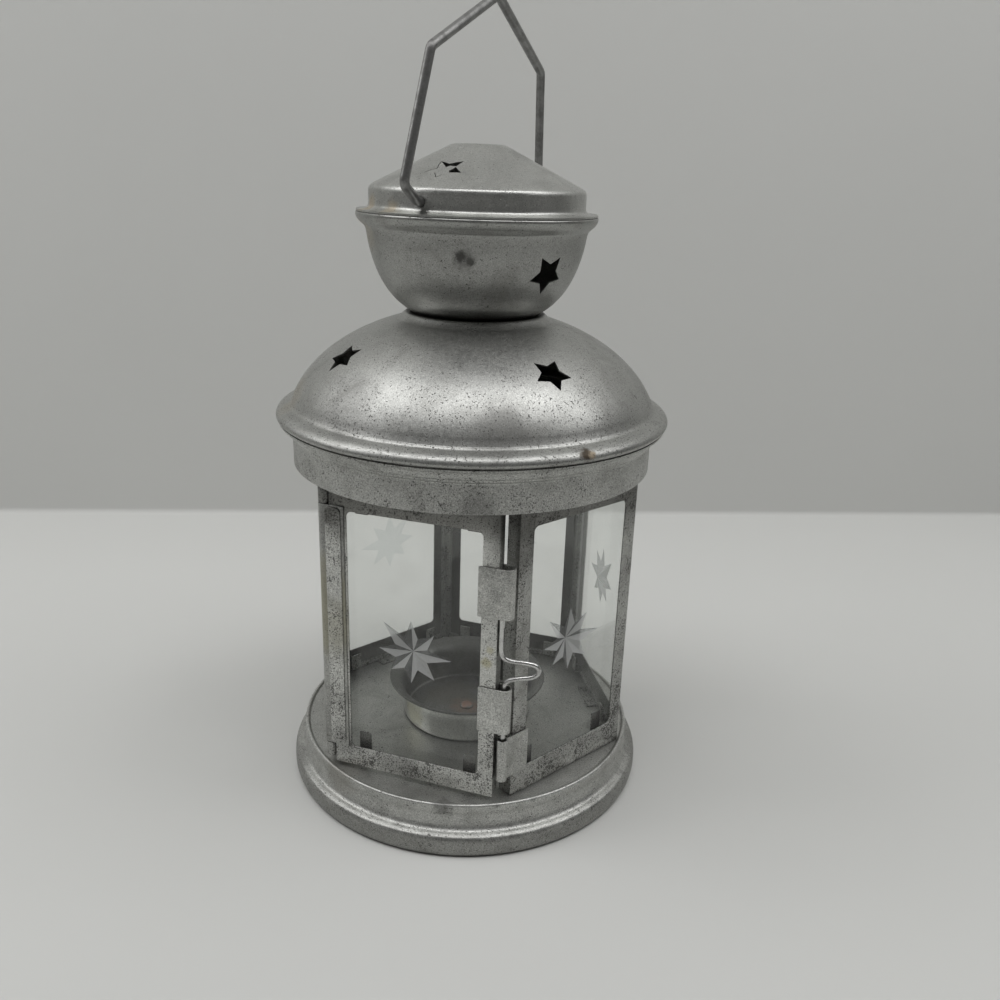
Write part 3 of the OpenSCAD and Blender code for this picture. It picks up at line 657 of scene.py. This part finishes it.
def pane(name, node, body, az, s0, s1, star_s, star_at, ground):
    """A pane with the star cut into its outer face."""
    bm = bmesh.new()
    bmesh.ops.create_circle(bm, cap_ends=False, segments=16, radius=star_wide * mm)
    ring = sorted(bm.verts, key=lambda v: (star_turn - v.co.xy.angle_signed(Vector((1, 0)))) % (2 * pi))
    for k, v in enumerate(ring):
        v.co *= star_lengths[k // 2] if k % 2 else notch
    centre = bm.verts.new((0, 0, -star_deep * mm))
    facets = [bm.faces.new((ring[k], ring[(k + 1) % 16], centre)) for k in range(16)]
    corners = [bm.verts.new(((s - star_s) * mm, (z - star_at) * mm, 0))
               for s, z in ((s0, pane_low), (s1, pane_low), (s1, pane_high), (s0, pane_high))]
    sides = [bm.edges.new((corners[k], corners[(k + 1) % 4])) for k in range(4)]
    rim = [e for e in bm.edges if e.is_boundary and e not in sides]
    bmesh.ops.triangle_fill(bm, use_beauty=True, edges=rim + sides)
    for face in bm.faces:
        face.normal_update()
        if face in facets:
            # Painted light and shade: the facets turned one way get the painted-lit ground glass, the
            # rest the painted-shaded copy.
            face.material_index = 1 if face.normal.dot(painted_facet_turn) < 0 else 2
    grown = bmesh.ops.extrude_edge_only(bm, edges=sides)
    back = [v for v in grown["geom"] if isinstance(v, bmesh.types.BMVert)]
    bmesh.ops.translate(bm, verts=back, vec=(0, 0, -pane_thick * mm))
    bmesh.ops.contextual_create(bm, geom=back)
    bmesh.ops.recalc_face_normals(bm, faces=bm.faces)
    stand = (Matrix.Rotation(radians(az), 4, "Z")
             @ Matrix.Translation((star_s * mm, -pane_front * mm, star_at * mm))
             @ Matrix.Rotation(radians(90), 4, "X"))
    bmesh.ops.transform(bm, matrix=stand, verts=bm.verts)
    piece = placed(name, bm, glass)
    for facet in ground:
        piece.data.materials.append(facet)
    return stands_for(piece, body, "pane_glass", node)


pane_half = (apothem - sheet - pane_thick) * tan(radians(30)) - corner_gap
pane("pane_door", "door_glass", "door", 0, -24.3, 23.8, -0.8, 57.0, near_star)
pane("pane_right", "right_glass", "lantern", 60, -19.7, pane_half, 1.0, 58.0, near_star)
pane("pane_right_rear", "right_rear_glass", "lantern", 120, -pane_half, pane_half, -0.6, 60, near_star)
pane("pane_rear", "rear_glass", "lantern", 180, -pane_half, pane_half, 0, 59, far_star)
pane("pane_left_rear", "left_rear_glass", "lantern", 240, -pane_half, pane_half, 0, 60, far_star)
pane("pane_left", "left_glass", "lantern", -60, -pane_half, 19.7, -1.0, 59, near_star)

# The table and the light. A pale matt sheet lies under the lantern and stands up behind it,
# under three wide soft lamps, and a dark screen at the front darkens what the roof mirrors.


def matt_paper(name, colour):
    """Plain matt paper, faintly uneven."""
    f = Finish(name)
    soft = f.noise(120, 2.0, 0.5)
    shade = f.node("ShaderNodeVectorMath", {"operation": "SCALE"},
                   {0: colour, "Scale": 0.98 + soft * 0.04})
    face = f.node("ShaderNodeBsdfPrincipled", {}, {"Base Color": shade, "Roughness": 0.9})
    seen = f.node("ShaderNodeNewGeometry", {}, {}, "Backfacing")
    gone = f.node("ShaderNodeBsdfTransparent", {}, {})
    return f.out(f.node("ShaderNodeMixShader", {}, {0: seen, 1: face, 2: gone}))


def backdrop():
    """A floor that turns up into a wall behind the lantern."""
    bm = bmesh.new()
    wall_y, reach, tall, fillet, heading = 225, 3000, 1500, 3, 22.9
    path = [(-reach, 0)] + [
        (wall_y - fillet + fillet * sin(radians(q)), fillet - fillet * cos(radians(q)))
        for q in range(0, 91, 15)] + [(wall_y, tall)]
    row = [bm.verts.new((-reach * mm, y * mm, z * mm)) for y, z in path]
    edges = [bm.edges.new(pair) for pair in zip(row, row[1:])]
    grown = bmesh.ops.extrude_edge_only(bm, edges=edges)
    far = [v for v in grown["geom"] if isinstance(v, bmesh.types.BMVert)]
    bmesh.ops.translate(bm, verts=far, vec=(2 * reach * mm, 0, 0))
    bmesh.ops.transform(bm, matrix=Matrix.Rotation(radians(heading), 4, "Z"), verts=bm.verts)
    bmesh.ops.recalc_face_normals(bm, faces=bm.faces)
    if min(bm.faces, key=lambda f: f.calc_center_median().z).normal.z < 0:
        bmesh.ops.reverse_faces(bm, faces=bm.faces)
    sweep = placed("backdrop", bm, matt_paper("paper", (0.60, 0.603, 0.585)))
    for p in sweep.data.polygons:
        p.use_smooth = True


backdrop()
lamp_aim = Vector((0, 0, 0.1))


def lamp(name, at, size, power):
    """A soft lamp turned to the middle of the lantern."""
    light = bpy.data.lights.new(name, "AREA")
    light.shape = "RECTANGLE"
    light.size, light.size_y = size
    light.energy = power
    held = bpy.data.objects.new(name, light)
    bpy.context.scene.collection.objects.link(held)
    turn = (lamp_aim - Vector(at)).to_track_quat("-Z", "Y").to_matrix().to_4x4()
    held.matrix_world = Matrix.Translation(at) @ turn
    held.visible_camera = False


lamp("lamp_left", (-0.63, -0.20, 0.72), (0.62, 0.72), 3.8)
lamp("lamp_right", (0.58, 0.14, 0.80), (0.50, 0.66), 2.4)
lamp("lamp_top", (0.10, -0.27, 0.95), (0.92, 0.44), 3.7)
screen_size = (0.34, 0.72, 1.0)
screen_at = (0, -0.62, 0.62)
screen_heading = 20
screen = bmesh.new()
bmesh.ops.create_grid(screen, x_segments=1, y_segments=1, size=0.5)
bmesh.ops.scale(screen, verts=screen.verts, vec=screen_size)
bmesh.ops.transform(screen, verts=screen.verts, matrix=Matrix.Rotation(radians(screen_heading), 4, "Z")
                    @ Matrix.Translation(screen_at) @ Matrix.Rotation(radians(90), 4, "X"))
screen = placed("dark_screen", screen, matt_paper("felt", (0.03, 0.03, 0.03)))
screen.visible_camera = False
world = bpy.data.worlds.new("room")
bpy.context.scene.world = world
world.use_nodes = True
world.node_tree.nodes["Background"].inputs["Color"].default_value = (0.42, 0.42, 0.415, 1)
world.node_tree.nodes["Background"].inputs["Strength"].default_value = 0.22
bpy.context.scene.view_settings.view_transform = "Standard"
